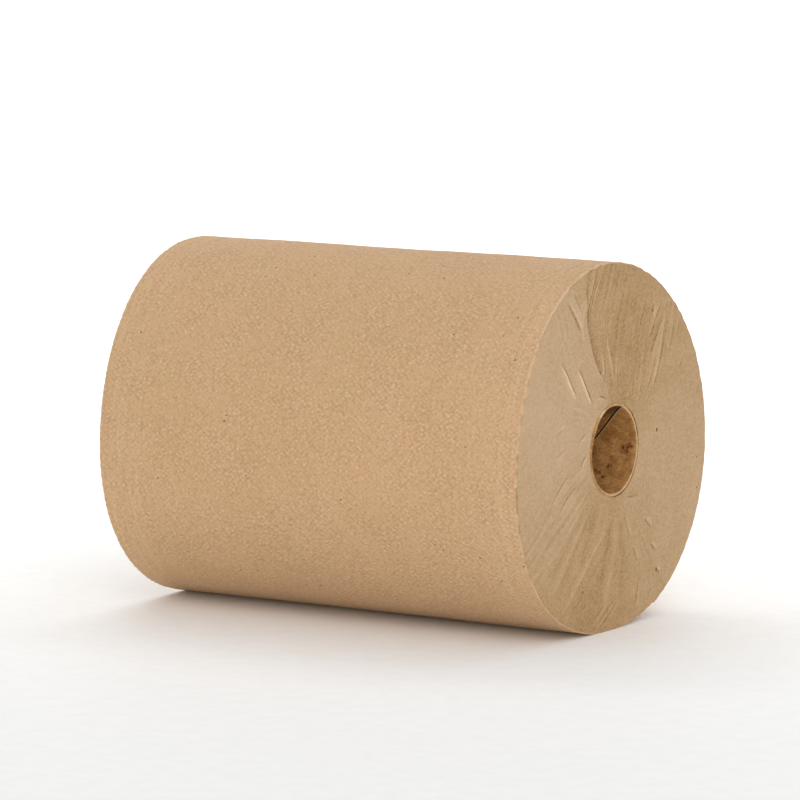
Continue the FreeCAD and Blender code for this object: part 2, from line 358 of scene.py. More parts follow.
def make_side():
    """The outside of the web: one turn that starts at its free end and tucks in under it."""
    past_tail = np.arange(0, 360 + TAIL_TUCK + ANGLE_STEP / 2, ANGLE_STEP)
    x, past = np.meshgrid(side_rows(), past_tail, indexing="ij")
    angle = TAIL_ANGLE + past
    rise = tail_rise(past) - rim_drop(x) + side_relief(angle, x)
    across, up = outline(angle, rise)
    points = np.stack([x, across, up + AXIS_HEIGHT], axis=-1)
    piece = mesh_piece("web_side", points, grid_faces(*x.shape), "towel_web")
    unrolled_map(piece, np.radians(past) * ROLL_RADIUS, x)
    # Painted highlight along the rim edge, strongest at the upper left
    rim_highlight = smooth_step(HALF_WIDTH - 1.2 * MM, HALF_WIDTH, np.abs(x))
    highlight_share = 0.12 + 0.6 * bell(angle % 360 - UPPER_LEFT_ANGLE, 28)
    point_values(piece, "rim_highlight", rim_highlight * highlight_share)
    gap = smooth_step(HALF_WIDTH - 0.5 * MM, HALF_WIDTH - 0.1 * MM, x) * rim_gaps(angle)
    point_values(piece, "rim_gap", gap)
    begin = HALF_WIDTH - WINDING_MARKS_REACH
    full = HALF_WIDTH - 0.1 * WINDING_MARKS_REACH
    near_ends = smooth_step(begin, full, np.abs(x))
    point_values(piece, "near_ends", near_ends)
    return piece


def make_tail_underside():
    """The cut edge of the free end and the underside of its lifted strip."""
    past_tail = np.arange(0, TAIL_TUCK + ANGLE_STEP / 2, ANGLE_STEP)
    x, past = np.meshgrid(side_rows(), np.concatenate([[0.0], past_tail]), indexing="ij")
    angle = TAIL_ANGLE + past
    below = np.where(np.arange(past.shape[1]) == 0, 0.0, SHEET)
    rise = tail_rise(past) - rim_drop(x) + side_relief(angle, x) - below
    across, up = outline(angle, rise)
    points = np.stack([x, across, up + AXIS_HEIGHT], axis=-1)
    piece = mesh_piece("web_free_end", points, grid_faces(*x.shape)[:, ::-1], "towel_web")
    unrolled_map(piece, np.radians(past) * ROLL_RADIUS, x)
    point_values(piece, "rim_highlight", np.zeros(x.shape))
    return piece


# The end faces

FAR_CREASE_COUNT = 40
FAR_CREASE_DEPTHS = (0.15, 0.45)
FAR_CREASE_WIDTH = 1.4
WIDE_STREAK_HEIGHT = 0.075
NARROW_STREAK_HEIGHT = 0.055
SAG_HEIGHT = 0.10
# Painted light that follows the streaks' heights: lighter on their ridges, darker between them
STREAK_SHADING = 3.6
MOUTH_DEPTH = 0.7
CORE_GAP = 0.05 * MM
CORE_GAP_ANGLE = -15.0

# The form across a crease, counted from its middle in widths of the crease
GROOVE_WIDTH = 0.42
LIP_PLACE = 1.05
LIP_WIDTH = 0.75
PETAL_PLACE = 2.4
PETAL_WIDTH = 2.0

# Where painted light makes the cut edges of an end lighter and painted shade makes them darker, in degrees
LIT_SIDES_ANGLE = 160
LIT_LEFT_ANGLE = 150
SHADED_TOP_ANGLE = 88
SHADED_LOW_ANGLE = 248


def path_angle(path, share):
    """Angle of a crease's path at each share of the way out."""
    ordered = sorted(path, key=lambda place: place[1])
    shares = [place[1] for place in ordered]
    angles = [place[0] for place in ordered]
    return np.interp(share, shares, angles)


def path_reach(path, share):
    """1 along a crease's path, fading to 0 at its ends."""
    shares = sorted(place[1] for place in path)
    fade = 0.25 * (shares[-1] - shares[0])
    begun = smooth_step(shares[0], shares[0] + fade, share)
    ended = smooth_step(shares[-1] - fade, shares[-1], share)
    return begun * (1 - ended)


def beside_path(path, angle, share, reach):
    """Distance in millimetres from a crease's path, positive anticlockwise of it."""
    return np.radians(turn_from(path_angle(path, share), angle)) * reach / MM


def crease(path, angle, share, reach, depth, width, lip_side):
    """Height, and painted light, of a sharp crease with a raised lip on one side: painted shade in the
    groove and painted highlights on the lip and the petal beside it.
    """
    beside = lip_side * beside_path(path, angle, share, reach) / width
    groove = bell(beside, GROOVE_WIDTH)
    lip = bell(beside - LIP_PLACE, LIP_WIDTH)
    petal = bell(beside - PETAL_PLACE, PETAL_WIDTH)
    here = depth * path_reach(path, share)
    height = here * (0.7 * lip + 0.25 * petal - groove)
    painted_light = here * (2.6 * lip + 0.8 * petal - 4.8 * groove)
    return height, painted_light


def fold(path, angle, share, reach, height, width):
    """A soft ridge or valley."""
    beside = beside_path(path, angle, share, reach)
    return height * path_reach(path, share) * bell(beside, 0.5 * width)


def near_creases(angle, share, reach):
    """Heights in millimetres, and tones, of the creases that the photograph shows on the near end."""
    height = np.zeros(angle.shape)
    painted_light = np.zeros(angle.shape)
    for path, depth, width, lip_side in CREASES:
        more_height, more_painted_light = crease(path, angle, share, reach, depth, width, lip_side)
        height += more_height
        painted_light += more_painted_light
    for path, rise, width in FOLDS:
        ridge = FOLD_GAIN * fold(path, angle, share, reach, rise, width)
        height += ridge
        painted_light += FOLD_SHADING * ridge
    ledge_height, ledge_painted_light = ledge(angle, share, reach)
    return height + ledge_height, painted_light + ledge_painted_light + pit_painted_light(angle, share, reach)


def ledge(angle, share, reach):
    """Height in millimetres of the ledge above the core, with a painted highlight over it and painted shade
    on its clockwise side.
    """
    beside = beside_path(LEDGE_PATH, angle, share, reach)
    past_it = np.clip(beside, 0, None)
    before_it = np.clip(-beside, 0, None)
    over = smooth_step(-0.45, 0.35, beside)
    strong = smooth_step(0.16, 0.30, share) * (1 - smooth_step(0.80, 0.95, share))
    height = (0.2 + 0.4 * strong) * over * np.exp(-past_it / 9.0)
    shade = np.exp(-before_it / 2.6) * (1 - over)
    painted_light = strong * (0.45 * over * np.exp(-past_it / 5.0) - 1.7 * shade)
    return height, painted_light


def far_creases(angle, share, reach):
    """The same for the far end, which the same saw left."""
    rng = np.random.default_rng(SEEDS["far_creases"])
    height = np.zeros(angle.shape)
    painted_light = np.zeros(angle.shape)
    for _ in range(FAR_CREASE_COUNT):
        at = rng.uniform(0, 360)
        start = rng.uniform(0.05, 0.6)
        end = min(0.95, start + rng.uniform(0.15, 0.4))
        path = ((at, start), (at + rng.uniform(-9, 9), end))
        lip_side = rng.choice((-1, 1))
        depth = rng.uniform(*FAR_CREASE_DEPTHS)
        more_height, more_painted_light = crease(path, angle, share, reach, depth, FAR_CREASE_WIDTH, lip_side)
        height += more_height
        painted_light += more_painted_light
    return height, painted_light


def streak_strength(angle):
    """How strongly an end face is streaked at each angle, up to a little over 1."""
    total = STREAKED_EVERYWHERE
    for at, width, more in STREAKED:
        total = total + more * bell(turn_from(at, angle), width)
    return total


def face_texture(seed, angle, share, reach):
    """Heights in millimetres of the streaks that cover an end face, and of its broad waves."""
    turned = np.radians(angle)
    drag_angles, drag_turns = zip(*DRAG)
    drag = np.interp(angle % 360, drag_angles, drag_turns)
    wander = 1.5 * ripple_noise(seed, turned, reach, 6, 50 * MM)
    lean = np.radians(angle - drag * (share - 0.6) + wander)
    wide = spoke_noise(seed + 1, lean, 36, 110)
    narrow = spoke_noise(seed + 2, lean, 110, 260)
    first = 0.5 + 0.5 * np.tanh(1.6 * ripple_noise(seed + 3, turned, reach, 9, 34 * MM))
    second = 0.5 + 0.5 * np.tanh(1.6 * ripple_noise(seed + 4, turned, reach, 14, 22 * MM))
    streaks = WIDE_STREAK_HEIGHT * wide * first + NARROW_STREAK_HEIGHT * narrow * second
    sag = SAG_HEIGHT * ripple_noise(seed + 5, turned, reach, 4, 80 * MM)
    return streaks * streak_strength(angle) * smooth_step(0, 0.12, share), sag


def make_face(name, side, rows, creases, seed):
    """One end of the web, from the core out to the rim."""
    past_tail = np.arange(0, 360 + ANGLE_STEP / 2, ANGLE_STEP)
    steps = np.concatenate([[0.0, 0.003, 0.007], np.linspace(0.012, 0.985, rows), [0.993, 1.0]])
    share, past = np.meshgrid(steps, past_tail, indexing="ij")
    angle = TAIL_ANGLE + past
    rim_across, rim_up = rim_points(angle, past, side)
    inner = CORE_RADIUS + CORE_GAP
    across = inner * np.cos(np.radians(angle)) * (1 - share) + rim_across * share
    up = inner * np.sin(np.radians(angle)) * (1 - share) + rim_up * share
    reach = np.hypot(across, up)
    crease_height, crease_painted_light = creases(angle, share, reach)
    streaks, sag = face_texture(seed, angle, share, reach)
    height = crease_height + streaks + sag
    level = height * (1 - smooth_step(0.985, 1.0, share)) * smooth_step(0.0, 0.02, share)
    open_side = 0.12 + 0.88 * smooth_step(0.1, 0.8, np.cos(np.radians(angle - CORE_GAP_ANGLE)))
    mouth = MOUTH_DEPTH * open_side * (1 - smooth_step(0.0, 0.011, share))
    x = side * (HALF_WIDTH + (level - mouth) * MM)
    points = np.stack([x, across, up + AXIS_HEIGHT], axis=-1)
    faces = grid_faces(*x.shape)
    if side > 0:
        faces = faces[:, ::-1]
    piece = mesh_piece(name, points, faces, "towel_web")
    unrolled_map(piece, np.radians(past) * reach, reach)
    # The stored value is painted light and shade: over the face, and from the creases, folds, ledge, pits
    # and streaks
    point_values(piece, "edge_tone_and_painted_light", painted_face_light(angle, share, reach) + crease_painted_light + STREAK_SHADING * streaks)
    return piece


def painted_face_light(angle, share, reach):
    """Painted light and shade on the cut edges, above 0 lighter and below 0 darker: painted reflection at
    both sides and the left, painted shade in a top wedge under the ledge and a low wedge, and painted shade
    along the rim gaps and in the gap round the core.
    """
    both_sides = 0.47 * np.cos(np.radians(2 * (angle - LIT_SIDES_ANGLE)))
    left = 0.25 * np.cos(np.radians(angle - LIT_LEFT_ANGLE))
    under_ledge = smooth_step(0.4, -0.4, beside_path(LEDGE_PATH, angle, share, reach))
    top = -0.45 * under_ledge * bell(angle % 360 - SHADED_TOP_ANGLE, 30)
    low = -0.35 * bell(angle % 360 - SHADED_LOW_ANGLE, 14) * smooth_step(0.55, 0.8, share)
    rim_line = 1.5 * rim_gaps(angle) * smooth_step(0.984, 0.993, share)
    open_side = smooth_step(0.0, 0.7, np.cos(np.radians(angle + 20)))
    gap_line = 3.6 * open_side * (1 - smooth_step(0.004, 0.014, share))
    return both_sides + left + top + low - rim_line - gap_line


def pit_painted_light(angle, share, reach):
    """Small pits, painted only: painted shade in each pit and a painted highlight round its edge."""
    total = np.zeros(angle.shape)
    for at, out, wide in PITS:
        beside = np.radians(turn_from(at, angle)) * reach / MM
        further_out = (share - out) * (ROLL_RADIUS - CORE_RADIUS) / MM
        away = np.hypot(beside, further_out) / wide
        total += 0.9 * bell(away - 1.9, 0.6) - 4.0 * bell(away, 1.0)
    return total


# The core

LIP_PUSH = 0.9 * MM
LIP_PUSH_ANGLE = 150.0
LIP_PUSH_REACH = 7 * MM
CUT_HIGHLIGHT_ANGLE = 121.0
FUZZ_HEIGHT = 0.03 * MM
FINE_ROWS_REACH = 30 * MM
ACROSS_WALL = np.array([0.12, 0.5, 0.88, 1.0])
CUT_ACROSS_WALL = np.array([0.25, 1.0, 0.7, 0.1])
END_ROWS = len(ACROSS_WALL)
END_BULGE = 0.06 * MM
END_ROUGHNESS = 0.05 * MM
PLY_EDGE_WIDTH = 0.95 * MM

# Lines of points across the core's seam, in halves of its width
SEAM_LINES = np.array([-1.0, -0.98, 0.0, 0.98])

# Stains in the bore: how far in and how wide in millimetres, and the angle and how far round in degrees
STAINS = (
    (3.5, 1.5, -2.0, 7.0),
    (4.4, 1.1, -11.0, 4.5),
    (6.2, 0.8, -6.0, 3.0),
    (9.5, 0.45, -3.0, 1.6),
    (11.3, 0.7, -21.0, 3.4),
    (11.7, 0.6, -34.0, 3.0),
    (12.2, 0.9, -46.0, 4.0),
    (14.4, 0.6, -42.0, 3.0),
    (16.7, 0.9, -37.0, 3.4),
)


def bore_stains(angle, x):
    """How stained the bore is, from 0 to 1."""
    depth = (HALF_WIDTH - x) / MM
    ragged = 0.35 * ripple_noise(SEEDS["stain_edges"], np.radians(angle), x, 40, 4 * MM)
    total = np.zeros(angle.shape)
    for at, wide, where, round_by in STAINS:
        away = np.hypot((depth - at) / wide, turn_from(where, angle) / round_by) + ragged
        total = np.maximum(total, 1 - smooth_step(0.55, 1.25, away))
    return total


def core_angles():
    """Degrees past the seam where the core has a line of points, with two at each edge of the seam."""
    half = math.degrees(SEAM_WIDTH / 2 / BORE_RADIUS) * math.sqrt(2)
    even = np.linspace(half, 360 - half, CORE_COLUMNS)
    return np.concatenate([half * SEAM_LINES, even])


def push_in(angle, x):
    """How far the core's lip is bent inwards at its upper left, at angles in radians."""
    round_it = bell(turn_from(LIP_PUSH_ANGLE, np.degrees(angle)), 26)
    return LIP_PUSH * round_it * np.exp(-(HALF_WIDTH - x) / LIP_PUSH_REACH)


def core_end(x, angle, pushed):
    """Rows of points across one cut end of the core, and over its corner."""
    shares, turned = np.meshgrid(ACROSS_WALL, angle, indexing="ij")
    reach = BORE_RADIUS - pushed * (1 - shares) + (CORE_RADIUS - BORE_RADIUS) * shares
    rough = END_ROUGHNESS * ripple_noise(SEEDS["board_ends"], turned, reach, 60, 2 * MM)
    bulge = math.copysign(END_BULGE, x)
    end_x = x + np.where(shares < 1, bulge + rough, -bulge)
    return np.stack([end_x, reach * np.cos(turned), reach * np.sin(turned) + AXIS_HEIGHT], axis=-1)


def make_core():
    """The paperboard tube: its bore with the open helical joint, and its cut ends."""
    past = core_angles()
    fine_from = HALF_WIDTH - FINE_ROWS_REACH
    coarse_rows = np.linspace(-HALF_WIDTH, fine_from, CORE_COARSE_ROWS)
    fine_rows = np.linspace(fine_from, HALF_WIDTH, CORE_FINE_ROWS)[1:]
    x, past_seam = np.meshgrid(np.concatenate([coarse_rows, fine_rows]), past, indexing="ij")
    seam = SEAM_ANGLE + 360 * (x - HALF_WIDTH) / SEAM_LEAD
    angle = np.radians(seam + past_seam)
    half_seam = past[len(SEAM_LINES)]
    in_seam = np.abs(turn_from(0, past_seam)) < half_seam * 0.99
    fuzz = FUZZ_HEIGHT * ripple_noise(SEEDS["bore_fuzz"], angle, x, 30, 6 * MM)
    pushed = push_in(angle, x)
    reach = BORE_RADIUS + np.where(in_seam, SEAM_DEPTH, fuzz) - pushed
    bore = np.stack([x, reach * np.cos(angle), reach * np.sin(angle) + AXIS_HEIGHT], axis=-1)
    far_end = core_end(x[0, 0], angle[0], pushed[0])
    near_end = core_end(x[-1, 0], angle[-1], pushed[-1])
    points = np.concatenate([far_end[::-1], bore, near_end])
    faces = grid_faces(*points.shape[:2])[:, ::-1]
    piece = mesh_piece("core_board", points, faces, "core_tube")
    store_core_values(piece, points.shape[:2], angle, x, past_seam, in_seam)
    return piece


def store_core_values(piece, shape, angle, x, past_seam, in_seam):
    """Store where the core's joint, stains, painted shade, painted highlights and cut ends are, for its
    material.
    """
    # Painted shade over the ply just past the joint at the upper left of the bore, where the wall gets
    # little light
    upper_left_bore_shade = 1 - smooth_step(35, 150, past_seam % 360)
    upper_left = smooth_step(-0.1, 0.5, np.cos(angle - math.radians(120)))
    before_seam = (360 - past_seam % 360) * math.radians(1) * BORE_RADIUS
    in_bore = {
        "seam": in_seam,
        "stain": bore_stains(np.degrees(angle), x),
        "upper_left_bore_shade": upper_left_bore_shade * upper_left,
        "ply_edge_highlight": bell(before_seam, PLY_EDGE_WIDTH) * (1 - in_seam),
    }
    for name, values in in_bore.items():
        stored = np.zeros(shape)
        stored[END_ROWS:-END_ROWS] = values
        point_values(piece, name, stored)
    # The near cut end is painted lighter on its lit side, with a painted highlight at the upper left
    lit = 0.5 + 0.5 * np.cos(angle[-1] - math.radians(CORE_GAP_ANGLE))
    cut_highlight = bell(turn_from(CUT_HIGHLIGHT_ANGLE, np.degrees(angle[-1])), 8)
    cut_end_and_highlight = np.zeros(shape)
    cut_end_and_highlight[:END_ROWS] = CUT_ACROSS_WALL[::-1, None]
    cut_end_and_highlight[-END_ROWS:] = CUT_ACROSS_WALL[:, None] * (lit + 1.6 * cut_highlight)
    point_values(piece, "cut_end_and_highlight", cut_end_and_highlight)


# Node helpers

class Shader:
    """A material's node tree, with short ways to add and join nodes."""

    def __init__(self, name):
        self.material = bpy.data.materials.new(name)
        self.material.use_nodes = True
        self.tree = self.material.node_tree
        self.tree.nodes.clear()
        self.output = self.add("ShaderNodeOutputMaterial")
        self.surface = self.add("ShaderNodeBsdfPrincipled")
        self.join(self.surface.outputs["BSDF"], self.output.inputs["Surface"])

    def add(self, kind, **settings):
        """Add a node and set its properties."""
        node = self.tree.nodes.new(kind)
        for key, value in settings.items():
            setattr(node, key, value)
        return node

    def join(self, source, target):
        """Join an output to an input."""
        self.tree.links.new(source, target)

    def give(self, target, value):
        """Set an input to a number, or join it to an output."""
        if isinstance(value, bpy.types.NodeSocket):
            self.join(value, target)
        else:
            target.default_value = value

    def place(self):
        """Coordinates in metres on the object."""
        return self.add("ShaderNodeTexCoord").outputs["Object"]

    def unrolled(self):
        """How far round and how far along or out, in metres."""
        return self.add("ShaderNodeUVMap", uv_map="unrolled").outputs["UV"]

    def stored(self, name):
        """A number stored at the mesh's points."""
        return self.add("ShaderNodeAttribute", attribute_name=name).outputs["Fac"]

    def scaled(self, coordinates, scale, turn=0.0):
        """Coordinates scaled, and turned in their own plane."""
        node = self.add("ShaderNodeMapping")
        self.join(coordinates, node.inputs["Vector"])
        node.inputs["Scale"].default_value = scale
        node.inputs["Rotation"].default_value = (0, 0, math.radians(turn))
        return node.outputs["Vector"]

    def noise(self, coordinates, size, detail=2.0, roughness=0.5, distortion=0.0):
        """Noise with features of about the given size in metres."""
        node = self.add("ShaderNodeTexNoise")
        self.join(coordinates, node.inputs["Vector"])
        node.inputs["Scale"].default_value = 1 / size
        node.inputs["Detail"].default_value = detail
        node.inputs["Roughness"].default_value = roughness
        node.inputs["Distortion"].default_value = distortion
        return node.outputs["Fac"]

    def bend(self, coordinates, size, amount):
        """Coordinates pushed about by noise of the given size, by about the given amount in metres."""
        node = self.add("ShaderNodeTexNoise")
        self.join(coordinates, node.inputs["Vector"])
        node.inputs["Scale"].default_value = 1 / size
        push = self.add("ShaderNodeVectorMath", operation="MULTIPLY_ADD")
        self.join(node.outputs["Color"], push.inputs[0])
        push.inputs[1].default_value = (2 * amount, 2 * amount, 0)
        self.join(coordinates, push.inputs[2])
        return push.outputs["Vector"]

    def cells(self, coordinates, size, randomness=1.0):
        """Distance to scattered points about the given size apart."""
        node = self.add("ShaderNodeTexVoronoi")
        self.join(coordinates, node.inputs["Vector"])
        node.inputs["Scale"].default_value = 1 / size
        node.inputs["Randomness"].default_value = randomness
        return node.outputs["Distance"]

    def compute(self, operation, first, second):
        """A sum, difference or product of two numbers."""
        node = self.add("ShaderNodeMath", operation=operation)
        self.give(node.inputs[0], first)
        self.give(node.inputs[1], second)
        return node.outputs["Value"]

    def spread(self, value, low, high, to_low=0.0, to_high=1.0):
        """A number moved from one range to another by a smooth step, and kept inside it."""
        node = self.add("ShaderNodeMapRange", interpolation_type="SMOOTHSTEP")
        for name, given in zip(("Value", "From Min", "From Max", "To Min", "To Max"),
                               (value, low, high, to_low, to_high)):
            self.give(node.inputs[name], given)
        return node.outputs["Result"]

    def ramp(self, value, low, high):
        """A number stretched from low to high on to 0 to 1, in a straight line."""
        node = self.add("ShaderNodeMapRange")
        for name, given in zip(("Value", "From Min", "From Max"), (value, low, high)):
            self.give(node.inputs[name], given)
        return node.outputs["Result"]

    def mix(self, share, first, second):
        """Two colours mixed by a share."""
        node = self.add("ShaderNodeMix", data_type="RGBA")
        self.give(node.inputs["Factor"], share)
        for socket, value in ((node.inputs[6], first), (node.inputs[7], second)):
            self.give(socket, value)
        return node.outputs[2]

    def tint(self, colour, where, amount, towards):
        """A colour moved by an amount towards another, as far as a number from 0 to 1 says where."""
        return self.mix(self.compute("MULTIPLY", where, amount), colour, towards)

    def relief(self, height, depth, below=None):
        """A bump of the given depth in metres, on top of another."""
        node = self.add("ShaderNodeBump")
        node.inputs["Strength"].default_value = 1.0
        node.inputs["Distance"].default_value = depth
        self.join(height, node.inputs["Height"])
        if below is not None:
            self.join(below, node.inputs["Normal"])
        return node.outputs["Normal"]

    def finish(self, colour, roughness, normal):
        """Join the colour, roughness and bump to the surface."""
        self.give(self.surface.inputs["Base Color"], colour)
        self.give(self.surface.inputs["Roughness"], roughness)
        self.join(normal, self.surface.inputs["Normal"])


def linear(red, green, blue):
    """A colour given as seen on a screen, from 0 to 255, as the linear colour that shaders take."""
    seen = [value / 255 for value in (red, green, blue)]
    return tuple(v / 12.92 if v <= 0.04045 else ((v + 0.055) / 1.055) ** 2.4 for v in seen) + (1.0,)


# Materials

KRAFT_TAN = linear(198, 162, 122)
KRAFT_PALE_TAN = linear(201, 164, 125)
KRAFT_PINK = linear(203, 158, 124)
KRAFT_OLIVE = linear(188, 161, 116)
CREPE_HOLLOW_SHADE = linear(140, 100, 60)
CREPE_TOP_HIGHLIGHT = linear(233, 205, 170)
DARK_FLECK = linear(84, 54, 34)
PALE_FLECK = linear(226, 204, 176)
WINDING_MARK = linear(222, 192, 156)
RIM_HIGHLIGHT = linear(222, 196, 162)
RIM_GAP_SHADE = linear(110, 76, 44)

CUT_EDGE_DARK = linear(170, 136, 92)
CUT_EDGE_PALE = linear(196, 167, 133)
CUT_EDGE_PINK = linear(194, 155, 120)
CREASE_SHADE = linear(104, 74, 44)
CREASE_LIP_HIGHLIGHT = linear(226, 200, 164)
TURN_GAP_SHADE = linear(120, 88, 54)

BOARD_BROWN = linear(158, 110, 58)
BOARD_PALE_BROWN = linear(190, 143, 86)
BOARD_CLOUD = linear(120, 74, 36)
BOARD_DARK_FIBRE = linear(100, 56, 20)
BOARD_PALE_FIBRE = linear(196, 158, 112)
BOARD_SHADE = linear(66, 36, 15)
BOARD_STAIN = linear(88, 38, 14)
BOARD_PLY_EDGE_HIGHLIGHT = linear(220, 180, 130)
BOARD_JOINT_SHADE = linear(40, 20, 10)
BOARD_CUT = linear(214, 184, 146)

FLOOR_GREY = linear(247, 247, 246)
FLOOR_WHITE = linear(250, 250, 249)

# About how far a point of the crepe is from the middle of its bead on average, in bead sizes
BEAD_MEAN = 0.42
BEAD_SIZE = 1.55 * MM
CREPE_SIZE = 1.15 * MM
FLECK_SPACING = 6.5 * MM
TURN_SPACING = 0.45 * MM


def crepe_grain(s, place, web):
    """Height of the creped sheet: beads in patches, and finer noise, both about 0 on average."""
    bent = s.bend(web, 4 * MM, 0.8 * MM)
    beads = s.cells(s.scaled(bent, (1.0, 0.80, 1.0), 45), BEAD_SIZE, 0.50)
    crepe = s.noise(s.scaled(web, (1.0, 0.85, 1.0)), CREPE_SIZE, 2, 0.6)
    patches = s.spread(s.noise(place, 14 * MM, 2), 0.35, 0.65, 0.45, 0.85)
    beads = s.compute("MULTIPLY", s.compute("SUBTRACT", BEAD_MEAN, beads), patches)
    crepe = s.compute("MULTIPLY", s.compute("SUBTRACT", crepe, 0.5), 1.2)
    return s.compute("ADD", beads, crepe)


def kraft_side_material():
    """The outside of the towel web: creped kraft with flecks and a mottled tone, with painted shade in the
    crepe's hollows and painted highlights on its bead tops and along the rim.
    """
    s = Shader("kraft_side")
    place = s.place()
    web = s.unrolled()
    mottle = s.spread(s.noise(place, 34 * MM, 3, 0.55), 0.36, 0.64)
    colour = s.mix(mottle, KRAFT_TAN, KRAFT_PALE_TAN)
    pink = s.spread(s.noise(place, 11 * MM, 3, 0.6), 0.50, 0.68)
    colour = s.tint(colour, pink, 0.22, KRAFT_PINK)
    olive = s.spread(s.noise(s.scaled(place, (1, 1.3, 1)), 9 * MM, 3, 0.6), 0.54, 0.70)
    colour = s.tint(colour, olive, 0.16, KRAFT_OLIVE)
    grain = crepe_grain(s, place, web)
    # Painted shade in the crepe's hollows and painted highlights on its bead tops, from the same heights as
    # the bump
    colour = s.mix(s.spread(grain, -0.04, -0.28, 0.0, 0.22), colour, CREPE_HOLLOW_SHADE)
    colour = s.mix(s.spread(grain, 0.03, 0.29, 0.0, 0.38), colour, CREPE_TOP_HIGHLIGHT)
    dark = s.spread(s.cells(place, FLECK_SPACING), 0.075, 0.050)
    rare = s.spread(s.noise(place, 5 * MM, 1), 0.47, 0.53)
    colour = s.tint(colour, s.compute("MULTIPLY", dark, rare), 0.9, DARK_FLECK)
    light = s.spread(s.cells(s.scaled(place, (1.1, 0.9, 1)), 9 * MM), 0.045, 0.03)
    colour = s.tint(colour, light, 0.5, PALE_FLECK)
    marks = s.spread(s.noise(s.scaled(web, (0.03, 1.0, 1.0)), 1.8 * MM, 2, 0.6), 0.42, 0.66, 0.0, 0.22)
    colour = s.tint(colour, marks, s.stored("near_ends"), WINDING_MARK)
    # Painted highlight along the rim
    colour = s.tint(colour, s.stored("rim_highlight"), 0.7, RIM_HIGHLIGHT)
    colour = s.tint(colour, s.stored("rim_gap"), 0.45, RIM_GAP_SHADE)
    fine = s.noise(web, 0.5 * MM, 2, 0.6)
    bump = s.relief(fine, 0.10 * MM, s.relief(grain, 0.55 * MM))
    s.surface.inputs["Sheen Weight"].default_value = 0.04
    s.surface.inputs["Sheen Roughness"].default_value = 0.5
    s.surface.inputs["Specular IOR Level"].default_value = 0.25
    s.finish(colour, s.spread(fine, 0.3, 0.7, 0.78, 0.92), bump)
    return s.material


def kraft_face_material():
    """The sawn edges of the turns: smoother and a little greyer, with painted light and shade over the
    face, painted shade in the creases and between the turns, and painted highlights on the crease lips.
    """
    s = Shader("kraft_cut_edges")
    place = s.place()
    web = s.unrolled()
    cloud = s.spread(s.noise(place, 16 * MM, 3, 0.55), 0.32, 0.68, -0.16, 0.16)
    speck = s.noise(s.scaled(place, (1, 1, 1.2)), 1.0 * MM, 3, 0.65)
    edge_tone_and_painted_light = s.compute("ADD", s.stored("edge_tone_and_painted_light"), cloud)
    edge_tone_and_painted_light = s.compute("ADD", edge_tone_and_painted_light, s.spread(speck, 0.34, 0.66, -0.55, 0.55))
    colour = s.mix(s.ramp(edge_tone_and_painted_light, -1, 1), CUT_EDGE_DARK, CUT_EDGE_PALE)
    # Painted shade in the creases, and painted highlights on their lips
    colour = s.mix(s.ramp(edge_tone_and_painted_light, -0.9, -2.6), colour, CREASE_SHADE)
    colour = s.mix(s.ramp(edge_tone_and_painted_light, 1.3, 2.6), colour, CREASE_LIP_HIGHLIGHT)
    turns = s.noise(s.scaled(web, (0.02, 1.0, 1.0)), TURN_SPACING, 2, 0.7)
    # Painted shade in the fine gaps between the turns
    colour = s.mix(s.spread(turns, 0.35, 0.65, 0.08, 0.0), colour, TURN_GAP_SHADE)
    pink = s.spread(s.noise(place, 8 * MM, 3, 0.6), 0.52, 0.70)
    colour = s.tint(colour, pink, 0.25, CUT_EDGE_PINK)
    fine = s.noise(place, 0.8 * MM, 3, 0.6)
    bump = s.relief(speck, 0.26 * MM, s.relief(turns, 0.04 * MM))
    s.surface.inputs["Specular IOR Level"].default_value = 0.3
    s.finish(colour, s.spread(fine, 0.3, 0.7, 0.62, 0.82), bump)
    return s.material


def core_material():
    """Brown paperboard with stains and pale cut ends, painted shade in the open joint and at the upper left
    of the bore, and painted highlights on the ply edge and the near cut end.
    """
    s = Shader("core_paperboard")
    place = s.place()
    mottle = s.spread(s.noise(place, 4 * MM, 4, 0.65), 0.35, 0.65)
    colour = s.mix(mottle, BOARD_BROWN, BOARD_PALE_BROWN)
    cloud = s.spread(s.noise(place, 6.5 * MM, 3, 0.55, 0.6), 0.55, 0.64)
    colour = s.tint(colour, cloud, 0.25, BOARD_CLOUD)
    fibre = s.noise(s.scaled(place, (1, 1.6, 1.6), 40), 1.3 * MM, 3, 0.65)
    colour = s.mix(s.spread(fibre, 0.50, 0.34, 0.0, 0.45), colour, BOARD_DARK_FIBRE)
    colour = s.mix(s.spread(fibre, 0.56, 0.70, 0.0, 0.35), colour, BOARD_PALE_FIBRE)
    # Painted shade at the upper left of the bore
    colour = s.tint(colour, s.stored("upper_left_bore_shade"), 0.80, BOARD_SHADE)
    broken = s.spread(s.noise(place, 1.1 * MM, 3, 0.7), 0.38, 0.60, 0.15, 0.95)
    colour = s.tint(colour, s.stored("stain"), broken, BOARD_STAIN)
    # Painted highlight along the ply edge beside the joint
    colour = s.tint(colour, s.stored("ply_edge_highlight"), 0.85, BOARD_PLY_EDGE_HIGHLIGHT)
    # Painted shade in the open joint
    colour = s.mix(s.stored("seam"), colour, BOARD_JOINT_SHADE)
    # Pale cut ends, with painted light and a painted highlight on the near one
    colour = s.tint(colour, s.stored("cut_end_and_highlight"), 0.85, BOARD_CUT)
    fine = s.noise(place, 0.6 * MM, 3, 0.6)
    bump = s.relief(fine, 0.08 * MM, s.relief(fibre, 0.22 * MM))
    s.surface.inputs["Specular IOR Level"].default_value = 0.3
    s.finish(colour, s.spread(fine, 0.3, 0.7, 0.6, 0.8), bump)
    return s.material


